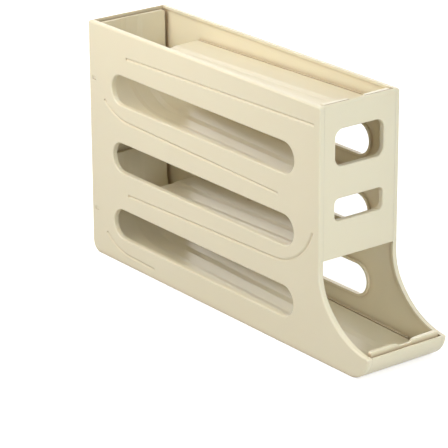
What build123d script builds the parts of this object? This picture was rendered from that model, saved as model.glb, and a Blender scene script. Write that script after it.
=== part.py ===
from build123d import *
import math
import os

# Free-standing egg rack. X runs from the rear wall towards the mouth where eggs are taken,
# Y runs across the rack and Z is up. The origin is on the table, below the middle of the
# outside box. All sizes are in millimetres.

# Outside of the rack
body_length = 300.0
body_width = 78.8
body_height = 203.2
lip_reach = 58.9
lip_height = 20.6

# Wall sections
wall_thickness = 2.4
skin_thickness = 2.4
side_depth = 4.4
rim_width = 2.2
bezel_width = 2.0
end_bezel_depth = 4.8
tongue_thickness = 1.8

# Rounding
heel_radius = 9.5
corner_radius = 2.2
arris_radius = 1.6
lip_corner_radius = 1.2
window_arris = 0.7

# Mouth edge, two tangent arcs from the front corner down to the lip, and the chin below it
mouth_height = 80.0
mouth_arc_start = 73.0
mouth_upper_radius = 42.0
mouth_upper_sweep = 32.0
chin_run = 21.9

# Long windows in both side walls, one for each closed lane
window_length = 237.6
window_height = 25.6
window_rear_margin = 32.0
lowest_window_height = 36.0

# Windows in the front wall, over the mouth
end_window_width = 47.6
upper_window_low = 153.0
upper_window_high = 182.5
upper_window_radius = 7.5
lower_window_low = 109.5
lower_window_high = 127.5
lower_window_radius = 4.5

# Lanes: every tray falls by the same slope, each the other way from the one above
lane_pitch = 58.5
bottom_tray_height = 7.4
top_tray_below_rim = 18.9
tray_slope = 1.4
tray_thickness = 2.0
egg_gap = 47.0

# Curved ends that catch and turn the eggs
guide_gap = 1.8
guide_radius = 50.0
top_guide_radius = 12.0
rear_guide_below_rim = 2.6
front_guide_below_rim = 0.4
third_guide_rise = 41.6
bottom_guide_rise = 76.6
stop_radius = 19.0
stop_height = 24.2
stop_gap = 4.6
seat_turn = 50.0

# Two raised runners along each tray, and the shallow dip in the ends that stand at the front
runner_height = 1.0
runner_outer_height = 1.6
runner_inner_edge = 6.0
runner_ramp = 5.0
dip_depth = 2.0
dip_half_width = 8.0
dip_floor_half_width = 5.0
tab_radius = 2.0

# Base
floor_thickness = 1.6
chin_thickness = 2.6
chin_thin_turn = 35.0
lip_arris = 1.4
base_tongue_start = 24.0
base_tongue_end = 108.0
chin_tab_low = 5.0
chin_tab_high = 14.0

# Fits
panel_clearance = 0.1
seat_clearance = 0.2
guide_side_gap = 1.5
rail_width = 1.5
tongue_overlap = 3.0
tongue_end_gap = 4.4

# Snap hooks of the rear wall
hook_height = 2.5
hook_length = 4.5
hook_reach = 5.25
hook_above_window = 2.1
lower_hook_above_window = 4.2
hook_arm = 1.5
hook_recess = 0.3

# Engraved line over each tray on the outside of the side walls
groove_width = 3.0
groove_depth = 0.9
groove_turn = 41.0
third_groove_turn = 70.0
top_groove_end_gap = 7.0
bottom_groove_length = 33.0

# Places worked out from the sizes above
rear_x = -(body_length + lip_reach) / 2
front_x = rear_x + body_length
lip_x = front_x + lip_reach
middle_x = (rear_x + front_x) / 2
half_width = body_width / 2
skin_inside = half_width - skin_thickness
side_inside = half_width - side_depth
panel_half_width = side_inside - panel_clearance
seat_half_width = skin_inside - seat_clearance
guide_half_width = side_inside - guide_side_gap
rear_guide_x = rear_x + wall_thickness + guide_gap + tray_thickness / 2
front_guide_x = front_x - wall_thickness - guide_gap - tray_thickness / 2
rear_drop_x = rear_guide_x + tray_thickness / 2 + egg_gap
front_drop_x = front_x - wall_thickness - egg_gap
stop_x = lip_x - stop_gap
top_tray_height = body_height - top_tray_below_rim
second_tray_height = bottom_tray_height + 2 * lane_pitch
third_tray_height = bottom_tray_height + lane_pitch
hook_heights = (
    lowest_window_height + lower_hook_above_window,
    lowest_window_height + 2 * lane_pitch + hook_above_window,
)

TOWARDS_FRONT = 1
TOWARDS_REAR = -1


def side_outline():
    """Outline of the rack seen from its long side."""
    with BuildSketch() as outline:
        with BuildLine():
            rear = Line((rear_x, body_height), (rear_x, 0))
            bottom = Line(rear @ 1, (lip_x - chin_run, 0))
            TangentArc(bottom @ 1, (lip_x, lip_height), tangent=bottom % 1)
            top = Line(rear @ 0, (front_x, body_height))
            front = Line(top @ 1, (front_x, mouth_arc_start))
            upper = JernArc(front @ 1, front % 1, mouth_upper_radius, mouth_upper_sweep)
            TangentArc(upper @ 1, (lip_x, lip_height), tangent=upper % 1)
        make_face()
        corners = outline.vertices()
        fillet(corners.sort_by_distance((rear_x, 0))[0], heel_radius)
        for corner in ((rear_x, body_height), (front_x, body_height)):
            fillet(outline.vertices().sort_by_distance(corner)[0], corner_radius)
        fillet(outline.vertices().sort_by_distance((lip_x, lip_height))[0], lip_corner_radius)
    return outline.sketch


def inset_outline(inset):
    """The side outline drawn in by a wall's width."""
    with BuildSketch() as inside:
        offset(side_outline(), amount=-inset)
    return inside.sketch


def deck_height(x, height, side):
    """Height of a tray's middle surface at x, where the tray rises towards one side."""
    return height + side * (x - middle_x) * math.tan(math.radians(tray_slope))


def guide_path(height, side, drop_x, radius, top=None, turn=None, extra=0.0, stop=None):
    """Middle line of a tray: sloping deck, then an arc up to its guide.

    The arc stops after `turn` degrees or, without it, where it reaches the height `top`.
    `extra` makes both ends longer, and `stop` is the height of an upturned end at the lip.
    """
    slope = math.radians(tray_slope)
    guide_x = front_guide_x if side == TOWARDS_FRONT else rear_guide_x
    run = radius * math.tan((math.pi / 2 - slope) / 2)
    deck_end_x = guide_x - side * run * math.cos(slope)
    arc_middle = deck_height(deck_end_x, height, side) + radius * math.cos(slope)
    full_turn = 90 - tray_slope
    if turn is None and top < arc_middle:
        turn = math.degrees(math.acos((arc_middle - top) / radius)) - tray_slope
    arc_turn = full_turn if turn is None else turn + math.degrees(extra / radius)
    if stop is None:
        start_x = drop_x - side * extra
    else:
        stop_run = stop_radius * math.tan((math.pi / 2 + slope) / 2)
        start_x = stop_x + side * stop_run * math.cos(slope)
    with BuildLine() as path:
        deck = Line(
            (start_x, deck_height(start_x, height, side)),
            (deck_end_x, deck_height(deck_end_x, height, side)),
        )
        arc = JernArc(deck @ 1, deck % 1, radius, side * arc_turn)
        if turn is None and top > arc_middle:
            Line(arc @ 1, (guide_x, top))
        if stop is not None:
            turn_up = JernArc(deck @ 0, -(deck % 0), stop_radius, -side * (90 + tray_slope))
            Line(turn_up @ 1, (stop_x, stop))
    return path.wires()[0]


def tray_seat(height, side, drop_x, radius, extra=0.0, seat_limit=None):
    """Middle line of the part of a tray that sits in the side walls."""
    start = drop_x if seat_limit is None else seat_limit
    return guide_path(height, side, start, radius, turn=seat_turn, extra=extra)


def runner_section(path):
    """Cross section of a tray at the start of its path, with its two runners."""
    start = path @ 0
    heading = path % 0
    deck_heading = path % 0.5
    across = (0, 1, 0) if deck_heading.X > 0 else (0, -1, 0)
    plane = Plane(
        origin=(start.X, 0, start.Y), x_dir=across, z_dir=(heading.X, 0, heading.Y)
    )
    low = -tray_thickness / 2
    deck = tray_thickness / 2
    with BuildSketch(plane) as section:
        with BuildLine():
            Polyline(
                (0, low),
                (guide_half_width, low),
                (guide_half_width, deck + runner_outer_height),
                (runner_inner_edge + runner_ramp, deck + runner_height),
                (runner_inner_edge, deck),
                (0, deck),
                close=True,
            )
        make_face()
        mirror(about=Plane.YZ)
    return section.sketch


def make_tray(label, height, side, drop_x, radius, top, stop=None, seat_limit=None):
    """One tray: deck with runners, guide end and the wider part that sits in the walls."""
    path = guide_path(height, side, drop_x, radius, top=top, stop=stop)
    seat = tray_seat(height, side, drop_x, radius, seat_limit=seat_limit)
    with BuildPart() as tray:
        sweep(runner_section(path), path=Plane.XZ.from_local_coords(path))
        with BuildSketch(Plane.XZ):
            trace(seat, tray_thickness)
        extrude(amount=seat_half_width, both=True)
        finish_upturned_end(tray, top, dipped=side == TOWARDS_FRONT)
        if stop is not None:
            finish_upturned_end(tray, stop, dipped=True)
    tray.part.label = label
    return tray


def finish_upturned_end(tray, end_height, dipped):
    """Rounded corners, and a dip between them where asked, at an end that stands upright."""
    end_faces = tray.faces().filter_by(Plane.XY).filter_by_position(
        Axis.Z, end_height - 0.01, end_height + 0.01
    )
    if not end_faces:
        return
    middle = end_faces[0].center()
    reach = tray_thickness + 2 * runner_outer_height
    if dipped:
        with BuildSketch(Plane.YZ.offset(middle.X)) as dip:
            Polygon(
                (-dip_half_width, end_height),
                (-dip_floor_half_width, end_height - dip_depth),
                (dip_floor_half_width, end_height - dip_depth),
                (dip_half_width, end_height),
                align=None,
            )
        extrude(dip.sketch, amount=reach, both=True, mode=Mode.SUBTRACT)
    end_edges = (
        tray.edges()
        .filter_by(Axis.X)
        .filter_by_position(Axis.Z, end_height - 0.01, end_height + 0.01)
        .filter_by_position(Axis.X, middle.X - reach, middle.X + reach)
    )
    corners = [edge for edge in end_edges if abs(edge.center().Y) > guide_half_width - 0.01]
    fillet(corners, tab_radius)


tray_sizes = {
    "top_tray": dict(
        height=top_tray_height,
        side=TOWARDS_FRONT,
        drop_x=rear_drop_x,
        radius=top_guide_radius,
        top=body_height - front_guide_below_rim,
    ),
    "second_tray": dict(
        height=second_tray_height,
        side=TOWARDS_REAR,
        drop_x=front_drop_x,
        radius=guide_radius,
        top=body_height - rear_guide_below_rim,
    ),
    "third_tray": dict(
        height=third_tray_height,
        side=TOWARDS_FRONT,
        drop_x=rear_drop_x,
        radius=guide_radius,
        top=third_tray_height + third_guide_rise,
    ),
    "bottom_tray": dict(
        height=bottom_tray_height,
        side=TOWARDS_REAR,
        drop_x=stop_x,
        radius=guide_radius,
        top=bottom_tray_height + bottom_guide_rise,
        stop=stop_height,
        seat_limit=stop_x - 2 * stop_radius,
    ),
}


def window_centres():
    """Centres of the long windows in the XZ plane."""
    window_middle_x = rear_x + window_rear_margin + window_length / 2
    return [
        (window_middle_x, lowest_window_height + lane * lane_pitch) for lane in range(3)
    ]


def seat_sizes(sizes):
    """The sizes of a tray that its seat in the side walls follows."""
    return {name: size for name, size in sizes.items() if name not in ("top", "stop")}


def side_pocket():
    """Hollow on the inside of a side wall: all but its rim, window bezels and tray rails."""
    with BuildSketch(Plane.XZ.offset(-side_inside)) as pocket:
        add(inset_outline(rim_width))
        with Locations(*window_centres()):
            SlotOverall(
                window_length + 2 * bezel_width,
                window_height + 2 * bezel_width,
                mode=Mode.SUBTRACT,
            )
        for sizes in tray_sizes.values():
            rail = tray_seat(**seat_sizes(sizes), extra=seat_clearance + rail_width)
            trace(rail, tray_thickness + 2 * (seat_clearance + rail_width), mode=Mode.SUBTRACT)
        for sizes in tray_sizes.values():
            channel = tray_seat(**seat_sizes(sizes), extra=seat_clearance)
            trace(channel, tray_thickness + 2 * seat_clearance)
    return pocket.sketch


def groove_paths():
    """Middle lines of the engraved lines, which follow the trays behind them."""
    top_start = (rear_drop_x, deck_height(rear_drop_x, top_tray_height, TOWARDS_FRONT))
    top_end_x = front_x - top_groove_end_gap
    with BuildLine() as top_groove:
        Line(top_start, (top_end_x, deck_height(top_end_x, top_tray_height, TOWARDS_FRONT)))
    bottom_end_x = rear_guide_x + guide_radius + bottom_groove_length
    return [
        top_groove.wires()[0],
        guide_path(
            second_tray_height, TOWARDS_REAR, front_drop_x, guide_radius, turn=groove_turn
        ),
        guide_path(
            third_tray_height, TOWARDS_FRONT, rear_drop_x, guide_radius, turn=third_groove_turn
        ),
        guide_path(
            bottom_tray_height, TOWARDS_REAR, bottom_end_x, guide_radius, turn=groove_turn
        ),
    ]


def make_left_panel():
    """Side wall at +Y: skin, deep rim, three windows, tray rails and engraved lines."""
    with BuildPart() as panel:
        with BuildSketch(Plane.XZ.offset(-half_width)):
            add(side_outline())
        extrude(amount=side_depth)
        outer_face = panel.faces().sort_by(Axis.Y)[-1]
        fillet(outer_face.outer_wire().edges(), arris_radius)
        with BuildSketch(Plane.XZ.offset(-half_width)):
            with Locations(*window_centres()):
                SlotOverall(window_length, window_height)
        extrude(amount=side_depth, mode=Mode.SUBTRACT)
        outer_face = panel.faces().sort_by(Axis.Y)[-1]
        window_edges = [wire.edges() for wire in outer_face.inner_wires()]
        chamfer([edge for edges in window_edges for edge in edges], window_arris)
        pocket = side_pocket()
        extrude(pocket, amount=side_depth - skin_thickness, dir=(0, 1, 0), mode=Mode.SUBTRACT)
        for groove in groove_paths():
            start = groove @ 0
            heading = groove % 0
            section_plane = Plane(
                origin=(start.X, half_width, start.Y),
                x_dir=(0, 1, 0),
                z_dir=(heading.X, 0, heading.Y),
            )
            with BuildSketch(section_plane) as groove_section:
                Polygon(
                    (groove_depth, 0), (0, groove_width / 2), (-groove_depth, 0), (0, -groove_width / 2)
                )
            line_on_face = Plane.XZ.offset(-half_width).from_local_coords(groove)
            sweep(groove_section.sketch, path=line_on_face, mode=Mode.SUBTRACT)
        hook_x = rear_x + hook_reach + hook_length / 2
        for height in hook_heights:
            with Locations((hook_x, half_width - skin_thickness / 2, height)):
                Box(
                    hook_length + 2 * seat_clearance,
                    2 * skin_thickness,
                    hook_height + 2 * seat_clearance,
                    mode=Mode.SUBTRACT,
                )
    return panel


def make_front_panel():
    """Front wall above the mouth, between the side walls, with two windows."""
    upper_height = upper_window_high - upper_window_low
    lower_height = lower_window_high - lower_window_low
    windows = (
        ((upper_window_low + upper_window_high) / 2, upper_height, upper_window_radius),
        ((lower_window_low + lower_window_high) / 2, lower_height, lower_window_radius),
    )
    middle_z = (mouth_height + body_height) / 2
    panel_height = body_height - mouth_height
    with BuildPart() as panel:
        with BuildSketch(Plane.YZ.offset(front_x)):
            with Locations((0, middle_z)):
                Rectangle(2 * panel_half_width, panel_height)
        extrude(amount=-wall_thickness)
        fillet(panel.edges().filter_by(Axis.Y).group_by(Axis.X)[-1].sort_by(Axis.Z)[-1], corner_radius)
        fillet(panel.edges().filter_by(Axis.Y).group_by(Axis.X)[-1].sort_by(Axis.Z)[0], window_arris)
        with BuildSketch(Plane.YZ.offset(front_x)):
            for height, tall, radius in windows:
                with Locations((0, height)):
                    RectangleRounded(
                        end_window_width + 2 * bezel_width,
                        tall + 2 * bezel_width,
                        radius + bezel_width,
                    )
        extrude(amount=-end_bezel_depth)
        with BuildSketch(Plane.YZ.offset(front_x)):
            for height, tall, radius in windows:
                with Locations((0, height)):
                    RectangleRounded(end_window_width, tall, radius)
        extrude(amount=-end_bezel_depth, mode=Mode.SUBTRACT)
        outer_face = panel.faces().filter_by(Plane.YZ).sort_by(Axis.X)[-1]
        window_edges = [wire.edges() for wire in outer_face.inner_wires()]
        chamfer([edge for edges in window_edges for edge in edges], window_arris)
        # turned-in lower edge over the mouth
        edge_middle = (front_x - side_depth / 2 - wall_thickness / 2, 0, mouth_height)
        with Locations(edge_middle):
            Box(
                side_depth - wall_thickness,
                2 * (panel_half_width - tongue_overlap),
                wall_thickness,
                align=(Align.CENTER, Align.CENTER, Align.MIN),
            )
        add_tongues(front_x - wall_thickness, -1, mouth_height, body_height)
    panel.part.label = "front_panel"
    return panel


def add_tongues(face_x, inwards, low, high):
    """Strips down both edges of an end wall, which stand behind the rims of the side walls."""
    tongue_width = seat_half_width - panel_half_width + tongue_overlap
    tongue_height = high - low - 2 * tongue_end_gap
    middle_y = seat_half_width - tongue_width / 2
    middle_x_of_tongue = face_x + inwards * tongue_thickness / 2
    with Locations(
        (middle_x_of_tongue, middle_y, (low + high) / 2),
        (middle_x_of_tongue, -middle_y, (low + high) / 2),
    ):
        Box(tongue_thickness, tongue_width, tongue_height)


def make_rear_panel():
    """Plain rear wall with four snap hooks that show in small slots of the side walls."""
    low = heel_radius + panel_clearance
    hook_tip = rear_x + hook_reach + hook_length
    arm_start = rear_x + wall_thickness
    hook_outside = half_width - hook_recess
    with BuildPart() as panel:
        with BuildSketch(Plane.YZ.offset(rear_x)):
            with Locations((0, (low + body_height) / 2)):
                Rectangle(2 * panel_half_width, body_height - low)
        extrude(amount=wall_thickness)
        fillet(panel.edges().filter_by(Axis.Y).group_by(Axis.X)[0].sort_by(Axis.Z)[-1], corner_radius)
        add_tongues(rear_x + wall_thickness, 1, low, body_height)
        for height in hook_heights:
            for across in (1, -1):
                arm_y = across * (seat_half_width - hook_arm / 2)
                with Locations(((arm_start + hook_tip) / 2, arm_y, height)):
                    Box(hook_tip - arm_start, hook_arm, hook_height)
                catch_width = hook_outside - seat_half_width + hook_arm / 2
                catch_y = across * (hook_outside - catch_width / 2)
                with Locations((hook_tip - hook_length / 2, catch_y, height)):
                    Box(hook_length, catch_width, hook_height)
    panel.part.label = "rear_panel"
    return panel


def make_base_panel():
    """Shallow floor that turns up at the heel and runs up into the lip."""
    floor_middle = floor_thickness / 2
    chin_radius = (chin_run**2 + lip_height**2) / (2 * lip_height)
    chin_middle_radius = chin_radius - chin_thickness / 2
    chin_turn = math.degrees(math.acos((chin_radius - lip_height) / chin_radius))
    chin_centre = (lip_x - chin_run, chin_radius)
    with BuildPart() as base:
        with BuildSketch(Plane.XZ):
            with BuildLine() as floor_path:
                heel = JernArc(
                    (rear_x + floor_middle, heel_radius), (0, -1), heel_radius - floor_middle, 90
                )
                floor = Line(heel @ 1, (lip_x - chin_run, floor_middle))
                JernArc(floor @ 1, floor % 1, chin_radius - floor_middle, chin_turn)
            trace(floor_path.wires()[0], floor_thickness)
            with BuildLine() as chin_path:
                thick_turn = chin_turn - chin_thin_turn
                CenterArc(chin_centre, chin_middle_radius, chin_thin_turn - 90, thick_turn)
            trace(chin_path.wires()[0], chin_thickness)
        extrude(amount=panel_half_width, both=True)
        lip_edges = base.edges().filter_by(Axis.Y).group_by(Axis.Z)[-1]
        fillet(lip_edges.sort_by(Axis.X)[-1], lip_arris)
        add_base_tongues()
        with BuildSketch(Plane.XZ) as chin_tab:
            tab_outside = rim_width + seat_clearance
            add(inset_outline(tab_outside))
            add(inset_outline(tab_outside + tongue_thickness), mode=Mode.SUBTRACT)
            with Locations((lip_x - chin_run / 2, (chin_tab_low + chin_tab_high) / 2)):
                Rectangle(chin_run, chin_tab_high - chin_tab_low, mode=Mode.INTERSECT)
        tab_width = seat_half_width - guide_half_width - seat_clearance
        for start, heading in ((seat_half_width, -1), (-seat_half_width, 1)):
            moved = Location((0, start, 0)) * chin_tab.sketch
            extrude(moved, amount=tab_width, dir=(0, heading, 0))
    base.part.label = "base_panel"
    return base


def add_base_tongues():
    """Strips along both edges of the floor, which lie over the lower rims of the side walls."""
    tongue_middle_x = rear_x + (base_tongue_start + base_tongue_end) / 2
    tongue_length = base_tongue_end - base_tongue_start
    low = rim_width + seat_clearance
    high = low + tongue_thickness
    foot_middle_y = panel_half_width - tongue_overlap / 2
    tongue_width = seat_half_width - panel_half_width + tongue_overlap
    tongue_middle_y = seat_half_width - tongue_width / 2
    for across in (1, -1):
        with Locations((tongue_middle_x, across * foot_middle_y, high / 2)):
            Box(tongue_length, tongue_overlap, high)
        with Locations((tongue_middle_x, across * tongue_middle_y, (low + high) / 2)):
            Box(tongue_length, tongue_width, high - low)


os.makedirs("parts", exist_ok=True)
left_panel = make_left_panel()
left_panel.part.label = "side_panel_left"
with BuildPart() as right_panel:
    mirror(left_panel.part, about=Plane.XZ)
right_panel.part.label = "side_panel_right"

pieces = [left_panel, right_panel, make_front_panel(), make_rear_panel(), make_base_panel()]
for name, sizes in tray_sizes.items():
    pieces.append(make_tray(name, **sizes))
for piece in pieces:
    export_step(piece.part, f"parts/{piece.part.label}.step")
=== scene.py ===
import math

import bpy
from mathutils import Matrix, Vector

# Camera of the photograph, in metres and degrees
CAMERA_TARGET = Vector((-0.04766, 0.0, 0.05292))
CAMERA_AZIMUTH = 52.504
CAMERA_ELEVATION = 20.634
CAMERA_ROLL = -0.277
CAMERA_DISTANCE = 2.06194
CAMERA_LENS = 203.09
CAMERA_SENSOR = 36.0

# Colours of the plastic, linear; the pale edge colour is a painted highlight and the shade colour
# a painted shade
IVORY_LIGHT = (0.85, 0.775, 0.585)
IVORY_DEEP = (0.835, 0.755, 0.56)
IVORY_HIGHLIGHT = (0.95, 0.89, 0.76)
IVORY_SHADE = (0.50, 0.37, 0.22)

# Surface of the plastic: noise scales, painted highlights on edges, painted shade in corners, and
# bumps, lengths in metres
FLOW_SCALE = 7.0
SMUDGE_SCALE = 16.0
RIPPLE_SCALE = 42.0
GRAIN_SCALE = 2600.0
EDGE_RADIUS = 0.0004
EDGE_STRENGTH = 0.65
CORNER_REACH = 0.005
CORNER_STRENGTH = 0.8
GRAIN_STRENGTH = 0.03
GRAIN_HEIGHT = 0.0003
RIPPLE_STRENGTH = 0.008
RIPPLE_HEIGHT = 0.0015
WALL_ROUGHNESS = 0.36
TRAY_ROUGHNESS = 0.30
PLASTIC_IOR = 1.49
SUBSURFACE_SHARE = 0.12
SUBSURFACE_DEPTH = 0.0025

# Floor and world
FLOOR_SEEN = (0.97, 0.97, 0.97)
FLOOR_BOUNCE = (0.5, 0.487, 0.46)
FLOOR_GLOW = 0.55
FLOOR_ROUGHNESS = 0.9
FLOOR_SIZE = 14.0
WORLD_COLOUR = (1.0, 0.98, 0.945, 1.0)
WORLD_STRENGTH = 0.35
WHITE = (1.0, 1.0, 1.0, 1.0)


def new_material(name):
    """An empty node material, with its nodes and links."""
    material = bpy.data.materials.new(name)
    material.use_nodes = True
    material.node_tree.nodes.clear()
    return material, material.node_tree.nodes, material.node_tree.links


def noise(nodes, links, coordinates, scale, detail, roughness=0.5):
    """A noise texture on the object's own coordinates."""
    texture = nodes.new("ShaderNodeTexNoise")
    texture.inputs["Scale"].default_value = scale
    texture.inputs["Detail"].default_value = detail
    texture.inputs["Roughness"].default_value = roughness
    links.new(coordinates, texture.inputs["Vector"])
    return texture.outputs["Fac"]


def mix_colour(nodes, links, factor, first, second):
    """Mixes two colours, each a tuple or an output, by an output."""
    mix = nodes.new("ShaderNodeMix")
    mix.data_type = "RGBA"
    links.new(factor, mix.inputs[0])
    for socket, value in ((mix.inputs[6], first), (mix.inputs[7], second)):
        if isinstance(value, tuple):
            socket.default_value = (*value, 1.0)
        else:
            links.new(value, socket)
    return mix.outputs[2]


def map_range(nodes, links, value, low, high, to_low, to_high):
    """Maps an output from one range to another, clamped."""
    node = nodes.new("ShaderNodeMapRange")
    links.new(value, node.inputs["Value"])
    node.inputs["From Min"].default_value = low
    node.inputs["From Max"].default_value = high
    node.inputs["To Min"].default_value = to_low
    node.inputs["To Max"].default_value = to_high
    return node.outputs["Result"]


def moulded_plastic(name, roughness, stretch):
    """Satin moulded plastic: faint flow marks, painted highlights on edges, fine grain and
    painted shade in corners.
    """
    material, nodes, links = new_material(name)
    output = nodes.new("ShaderNodeOutputMaterial")
    shader = nodes.new("ShaderNodeBsdfPrincipled")
    links.new(shader.outputs["BSDF"], output.inputs["Surface"])
    place = nodes.new("ShaderNodeTexCoord")
    stretched = nodes.new("ShaderNodeMapping")
    stretched.inputs["Scale"].default_value = stretch
    links.new(place.outputs["Object"], stretched.inputs["Vector"])

    flow = noise(nodes, links, stretched.outputs["Vector"], FLOW_SCALE, 2.0, 0.4)
    flow_amount = map_range(nodes, links, flow, 0.2, 0.8, 0.0, 1.0)
    body_colour = mix_colour(nodes, links, flow_amount, IVORY_LIGHT, IVORY_DEEP)

    # Painted highlight: edges found by the Bevel node's normal, kept off hollows by the AO, are
    # mixed towards the pale edge colour
    rounded = nodes.new("ShaderNodeBevel")
    rounded.samples = 6
    rounded.inputs["Radius"].default_value = EDGE_RADIUS
    geometry = nodes.new("ShaderNodeNewGeometry")
    facing = nodes.new("ShaderNodeVectorMath")
    facing.operation = "DOT_PRODUCT"
    links.new(rounded.outputs["Normal"], facing.inputs[0])
    links.new(geometry.outputs["Normal"], facing.inputs[1])
    edge = map_range(nodes, links, facing.outputs["Value"], 0.8, 0.995, EDGE_STRENGTH, 0.0)
    corner = nodes.new("ShaderNodeAmbientOcclusion")
    corner.samples = 8
    corner.inputs["Distance"].default_value = CORNER_REACH
    open_place = map_range(nodes, links, corner.outputs["AO"], 0.8, 0.97, 0.0, 1.0)
    painted_edge_highlight = nodes.new("ShaderNodeMath")
    painted_edge_highlight.operation = "MULTIPLY"
    links.new(edge, painted_edge_highlight.inputs[0])
    links.new(open_place, painted_edge_highlight.inputs[1])
    edge_colour = mix_colour(nodes, links, painted_edge_highlight.outputs[0], body_colour, IVORY_HIGHLIGHT)

    # Painted shade: corners, grooves and hollows found by the AO are darkened towards the shade
    # colour
    shaded = map_range(nodes, links, corner.outputs["AO"], 0.3, 0.97, CORNER_STRENGTH, 0.0)
    colour = mix_colour(nodes, links, shaded, edge_colour, IVORY_SHADE)
    links.new(colour, shader.inputs["Base Color"])

    smudge = noise(nodes, links, place.outputs["Object"], SMUDGE_SCALE, 2.0, 0.4)
    satin = map_range(nodes, links, smudge, 0.2, 0.8, roughness - 0.04, roughness + 0.06)
    links.new(satin, shader.inputs["Roughness"])

    grain = noise(nodes, links, place.outputs["Object"], GRAIN_SCALE, 2.0)
    ripple = noise(nodes, links, stretched.outputs["Vector"], RIPPLE_SCALE, 2.0)
    grain_bump = nodes.new("ShaderNodeBump")
    grain_bump.inputs["Strength"].default_value = GRAIN_STRENGTH
    grain_bump.inputs["Distance"].default_value = GRAIN_HEIGHT
    links.new(grain, grain_bump.inputs["Height"])
    links.new(rounded.outputs["Normal"], grain_bump.inputs["Normal"])
    ripple_bump = nodes.new("ShaderNodeBump")
    ripple_bump.inputs["Strength"].default_value = RIPPLE_STRENGTH
    ripple_bump.inputs["Distance"].default_value = RIPPLE_HEIGHT
    links.new(ripple, ripple_bump.inputs["Height"])
    links.new(grain_bump.outputs["Normal"], ripple_bump.inputs["Normal"])
    links.new(ripple_bump.outputs["Normal"], shader.inputs["Normal"])

    shader.inputs["IOR"].default_value = PLASTIC_IOR
    shader.inputs["Subsurface Weight"].default_value = SUBSURFACE_SHARE
    shader.inputs["Subsurface Radius"].default_value = (1.0, 0.72, 0.4)
    shader.inputs["Subsurface Scale"].default_value = SUBSURFACE_DEPTH
    return material


def seen_directly(nodes, links):
    """1 where the camera, a reflection or glass sees a surface, 0 for the light it sends on."""
    path = nodes.new("ShaderNodeLightPath")
    total = path.outputs["Is Camera Ray"]
    for ray in ("Is Glossy Ray", "Is Transmission Ray"):
        add = nodes.new("ShaderNodeMath")
        add.operation = "MAXIMUM"
        links.new(total, add.inputs[0])
        links.new(path.outputs[ray], add.inputs[1])
        total = add.outputs[0]
    return total


def floor_material():
    """White matt floor that takes the shadow and sends on less light than its colour shows."""
    material, nodes, links = new_material("pale_floor")
    output = nodes.new("ShaderNodeOutputMaterial")
    shader = nodes.new("ShaderNodeBsdfPrincipled")
    seen = seen_directly(nodes, links)
    tone = mix_colour(nodes, links, seen, FLOOR_BOUNCE, FLOOR_SEEN)
    links.new(tone, shader.inputs["Base Color"])
    shader.inputs["Emission Color"].default_value = WHITE
    glow = map_range(nodes, links, seen, 0.0, 1.0, 0.0, FLOOR_GLOW)
    links.new(glow, shader.inputs["Emission Strength"])
    shader.inputs["Roughness"].default_value = FLOOR_ROUGHNESS
    links.new(shader.outputs["BSDF"], output.inputs["Surface"])
    return material


def dress_nodes(frame):
    """Gives every CAD node its plastic."""
    wall = moulded_plastic("wall_plastic", WALL_ROUGHNESS, (1.0, 1.0, 0.7))
    tray = moulded_plastic("tray_plastic", TRAY_ROUGHNESS, (0.7, 1.0, 1.0))
    for name, node in frame["nodes"].items():
        plastic = tray if name.endswith("_tray") else wall
        for slot in node.material_slots:
            slot.material = plastic


def add_floor():
    """The plain floor under the rack."""
    bpy.ops.mesh.primitive_plane_add(size=FLOOR_SIZE, location=(0.0, 0.0, 0.0))
    floor = bpy.context.object
    floor.name = "floor"
    floor.data.materials.append(floor_material())


def aim(place, target):
    """Rotation that points an object's -Z from place at target, upright."""
    return (Vector(target) - Vector(place)).to_track_quat("-Z", "Y")


def add_soft_light(name, place, target, size, power, colour):
    """A square area light at place, aimed at target."""
    data = bpy.data.lights.new(name, "AREA")
    data.shape = "RECTANGLE"
    data.size = size
    data.size_y = size
    data.energy = power
    data.color = colour
    light = bpy.data.objects.new(name, data)
    bpy.context.collection.objects.link(light)
    light.location = place
    light.rotation_mode = "QUATERNION"
    light.rotation_quaternion = aim(place, target)


def add_lights():
    """The studio's soft lights: over the near side, before the front, overhead and behind."""
    over_side = (-0.06, 0.0, 0.16)
    front = (0.12, 0.0, 0.13)
    middle = (0.0, 0.0, 0.09)
    add_soft_light("key", (-0.18, -0.4, 0.52), over_side, 0.35, 2.12, (1.0, 0.985, 0.945))
    add_soft_light("front_fill", (0.75, -0.16, 0.3), front, 0.35, 2.65, (0.87, 0.95, 1.0))
    add_soft_light("top", (-0.1, 0.4, 2.2), middle, 1.8, 8.5, (1.0, 1.0, 0.99))
    add_soft_light("rear_fill", (-0.75, 0.8, 0.3), middle, 0.8, 3.0, (1.0, 0.985, 0.96))


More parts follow.
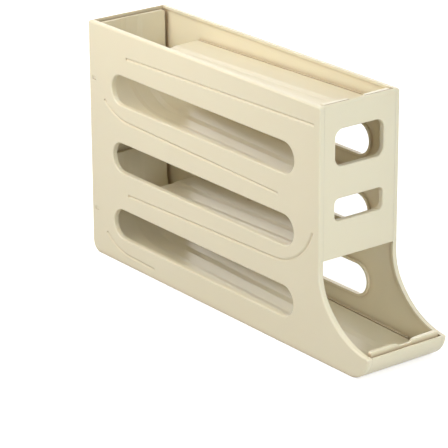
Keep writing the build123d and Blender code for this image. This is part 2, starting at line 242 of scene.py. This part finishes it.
def add_world():
    """Even light from all round, white where the camera or a reflection sees it."""
    world = bpy.data.worlds.new("studio")
    world.use_nodes = True
    bpy.context.scene.world = world
    nodes = world.node_tree.nodes
    links = world.node_tree.links
    nodes.clear()
    output = nodes.new("ShaderNodeOutputWorld")
    light = nodes.new("ShaderNodeBackground")
    light.inputs["Color"].default_value = WORLD_COLOUR
    light.inputs["Strength"].default_value = WORLD_STRENGTH
    seen = nodes.new("ShaderNodeBackground")
    seen.inputs["Color"].default_value = WHITE
    seen.inputs["Strength"].default_value = 1.0
    mix = nodes.new("ShaderNodeMixShader")
    links.new(seen_directly(nodes, links), mix.inputs["Fac"])
    links.new(light.outputs["Background"], mix.inputs[1])
    links.new(seen.outputs["Background"], mix.inputs[2])
    links.new(mix.outputs["Shader"], output.inputs["Surface"])


def add_camera():
    """The photograph's camera."""
    azimuth = math.radians(CAMERA_AZIMUTH)
    elevation = math.radians(CAMERA_ELEVATION)
    roll = math.radians(CAMERA_ROLL)
    back = Vector((
        math.sin(azimuth) * math.cos(elevation),
        -math.cos(azimuth) * math.cos(elevation),
        math.sin(elevation),
    ))
    level_right = Vector((math.cos(azimuth), math.sin(azimuth), 0.0))
    level_up = back.cross(level_right)
    right = level_right * math.cos(roll) + level_up * math.sin(roll)
    up = level_up * math.cos(roll) - level_right * math.sin(roll)
    data = bpy.data.cameras.new("photo_camera")
    data.sensor_fit = "HORIZONTAL"
    data.sensor_width = CAMERA_SENSOR
    data.lens = CAMERA_LENS
    camera = bpy.data.objects.new("photo_camera", data)
    bpy.context.collection.objects.link(camera)
    turn = Matrix((right, up, back)).transposed().to_4x4()
    camera.matrix_world = Matrix.Translation(CAMERA_TARGET + back * CAMERA_DISTANCE) @ turn
    bpy.context.scene.camera = camera


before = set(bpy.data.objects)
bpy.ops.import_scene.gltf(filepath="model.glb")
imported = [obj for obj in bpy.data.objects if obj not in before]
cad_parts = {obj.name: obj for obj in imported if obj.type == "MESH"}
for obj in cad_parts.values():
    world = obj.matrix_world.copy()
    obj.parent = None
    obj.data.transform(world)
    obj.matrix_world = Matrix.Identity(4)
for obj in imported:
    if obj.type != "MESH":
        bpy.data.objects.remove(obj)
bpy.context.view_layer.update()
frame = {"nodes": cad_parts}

dress_nodes(frame)
add_floor()
add_world()
add_lights()
add_camera()
bpy.context.scene.view_settings.view_transform = "Standard"
